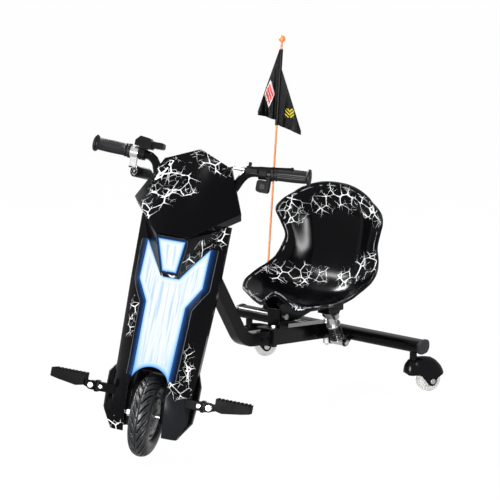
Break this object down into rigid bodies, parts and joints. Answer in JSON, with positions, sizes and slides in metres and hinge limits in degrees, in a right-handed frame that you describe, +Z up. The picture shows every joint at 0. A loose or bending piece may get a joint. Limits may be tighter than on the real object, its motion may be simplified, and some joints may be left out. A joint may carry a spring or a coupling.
{
  "type": "drift tricycle scooter",
  "caption": "Drift tricycle: a steered front column with a hub motor wheel, a bent main tube and a sprung bucket seat on swivelling rear casters, with a flag on a pole.",
  "frame": {"origin": "centre of the bounding box's footprint, at the floor the wheels stand on", "axes": "+Z up, -Y towards the front wheel, +X to the rider's left"},
  "size_m": [0.6524, 0.9982, 0.9426],
  "materials": {
    "tyre_rubber": "matte",
    "motor_silver": "satin",
    "bright_steel": "polished",
    "black_paint": "semi-gloss",
    "grip_rubber": "matte",
    "black_plastic": "satin",
    "horn_parts": "satin, its clamp silver",
    "control_parts": "satin, its adjuster silver",
    "cable_sheath": "satin",
    "button_plastic": "gloss",
    "crackle_black": "gloss with a white crackle",
    "cover_plastic": "matte",
    "nose_plastic": "gloss",
    "light_lens": "lit, white to light blue",
    "battery_case": "satin",
    "controller_case": "satin",
    "peg_plastic": "satin",
    "bearing_steel": "satin",
    "cap_plastic": "satin",
    "seat_plastic": "gloss with a white crackle",
    "shock_alloy": "satin",
    "spring_paint": "gloss",
    "pole_orange": "gloss",
    "flag_cloth": "matte",
    "hood_plastic": "gloss",
    "caster_white": "satin"
  },
  "bodies": {
    "frame": {"main_frame": "black_paint", "headset_bearing_upper": "bearing_steel", "headset_bearing_lower": "bearing_steel"},
    "rear": {"rear_sleeve": "black_paint", "sleeve_collar": "black_plastic", "length_lock_bolt": "bright_steel", "seat_riser": "black_paint", "seat_pivot_bolt": "bright_steel", "rear_cross_tube": "black_paint", "tube_cap_left": "cap_plastic", "tube_cap_right": "cap_plastic", "junction_bolt": "bright_steel", "shock_lower_bolt": "bright_steel", "flag_socket": "black_paint", "flag_pole": "pole_orange", "flag_ball": "pole_orange", "flag": "flag_cloth"},
    "seat": {"seat_bracket": "black_paint", "seat_shell": "seat_plastic", "shock_top_mount": "black_paint", "shock_top_bolt": "bright_steel"},
    "shock_lower": {"shock_rod": "shock_alloy", "shock_spring": "spring_paint"},
    "shock_upper": {"shock_cylinder": "shock_alloy"},
    "caster_left": {"caster_hood_left": "hood_plastic", "caster_axle_left": "bright_steel"},
    "wheel_left": {"caster_wheel_left": "caster_white"},
    "caster_right": {"caster_hood_right": "hood_plastic", "caster_axle_right": "bright_steel"},
    "wheel_right": {"caster_wheel_right": "caster_white"},
    "steering": {"fork": "black_paint", "handlebar_stem": "black_paint", "handlebar": "black_paint", "grip_left": "grip_rubber", "grip_right": "grip_rubber", "throttle_housing": "black_plastic", "horn": "horn_parts", "brake_perch": "control_parts", "brake_cable": "cable_sheath", "switch_block": "black_plastic", "head_fairing": "crackle_black", "body_fairing": "crackle_black", "rear_cover": "cover_plastic", "nose_cover": "nose_plastic", "upper_lens": "light_lens", "panel_lens": "light_lens", "battery_pack": "battery_case", "controller": "controller_case", "wheel_axle": "bright_steel", "peg_bracket_left": "black_paint", "peg_pin_left": "bright_steel", "peg_bracket_right": "black_paint", "peg_pin_right": "bright_steel"},
    "front_wheel": {"front_tyre": "tyre_rubber", "hub_motor": "motor_silver"},
    "throttle": {"throttle_lever": "black_plastic"},
    "brake": {"brake_lever": "black_paint"},
    "button": {"switch_button": "button_plastic"},
    "peg_left": {"foot_peg_left": "peg_plastic"},
    "peg_right": {"foot_peg_right": "peg_plastic"}
  },
  "joints": [
    {"name": "length_slide", "type": "slide", "parent": "frame", "child": "rear", "axis": [0, 0.989, -0.1478], "range_m": [-0.03, 0.06]},
    {"name": "steering", "type": "hinge", "parent": "frame", "child": "steering", "pos_m": [-0.01187, -0.22162, 0.54655], "axis": [0, 0.2924, 0.9563], "range_deg": [-70, 20]},
    {"name": "front_wheel_spin", "type": "hinge", "parent": "steering", "child": "front_wheel", "pos_m": [0.00106, -0.38702, 0.10042], "axis": [0.9063, 0.4042, -0.1236], "continuous": true},
    {"name": "peg_fold_left", "type": "hinge", "parent": "steering", "child": "peg_left", "pos_m": [0.14002, -0.32334, 0.1301], "axis": [0.4226, -0.8667, 0.265], "range_deg": [0, 80]},
    {"name": "peg_fold_right", "type": "hinge", "parent": "steering", "child": "peg_right", "pos_m": [-0.12825, -0.44297, 0.16667], "axis": [-0.4226, 0.8667, -0.265], "range_deg": [0, 80]},
    {"name": "throttle", "type": "hinge", "parent": "steering", "child": "throttle", "pos_m": [-0.14091, -0.17735, 0.71602], "axis": [0.9063, 0.4042, -0.1236], "range_deg": [0, 30], "stiffness_Nm_per_rad": 0.3, "springref_deg": -11.46},
    {"name": "brake", "type": "hinge", "parent": "steering", "child": "brake", "pos_m": [0.09919, -0.10902, 0.67735], "axis": [0, 0.2924, 0.9563], "range_deg": [0, 12], "stiffness_Nm_per_rad": 2, "springref_deg": -5.73},
    {"name": "button_press", "type": "slide", "parent": "steering", "child": "button", "axis": [-0.4226, 0.8667, -0.265], "range_m": [0, 0.0015], "stiffness_N_per_m": 400, "springref_m": -0.001},
    {"name": "caster_swivel_left", "type": "hinge", "parent": "rear", "child": "caster_left", "pos_m": [0.26813, 0.4065, 0.11], "axis": [0, 0, 1], "continuous": true},
    {"name": "caster_spin_left", "type": "hinge", "parent": "caster_left", "child": "wheel_left", "pos_m": [0.29213, 0.44807, 0.033], "axis": [-0.866, 0.5, 0], "continuous": true},
    {"name": "caster_swivel_right", "type": "hinge", "parent": "rear", "child": "caster_right", "pos_m": [-0.29187, 0.4065, 0.11], "axis": [0, 0, 1], "continuous": true},
    {"name": "caster_spin_right", "type": "hinge", "parent": "caster_right", "child": "wheel_right", "pos_m": [-0.25975, 0.44217, 0.033], "axis": [-0.7431, 0.6691, 0], "continuous": true},
    {"name": "seat_tilt", "type": "hinge", "parent": "rear", "child": "seat", "pos_m": [-0.01187, 0.1655, 0.225], "axis": [-1, 0, 0], "range_deg": [0, 5], "stiffness_Nm_per_rad": 200, "springref_deg": -2.29},
    {"name": "shock_swing", "type": "hinge", "parent": "rear", "child": "shock_lower", "pos_m": [0.05013, 0.3655, 0.1165], "axis": [1, 0, 0], "range_deg": [0, 5.72]},
    {"name": "shock_stroke", "type": "slide", "parent": "shock_lower", "child": "shock_upper", "axis": [0, 0.4299, -0.9029], "range_m": [0, 0.01118], "deforming": ["shock_spring"]}
  ],
  "couplings": [
    {"joint": "shock_swing", "follows": "seat_tilt", "ratio": 1.1334},
    {"joint": "shock_stroke", "follows": "seat_tilt", "m_per_rad": 0.12694}
  ]
}
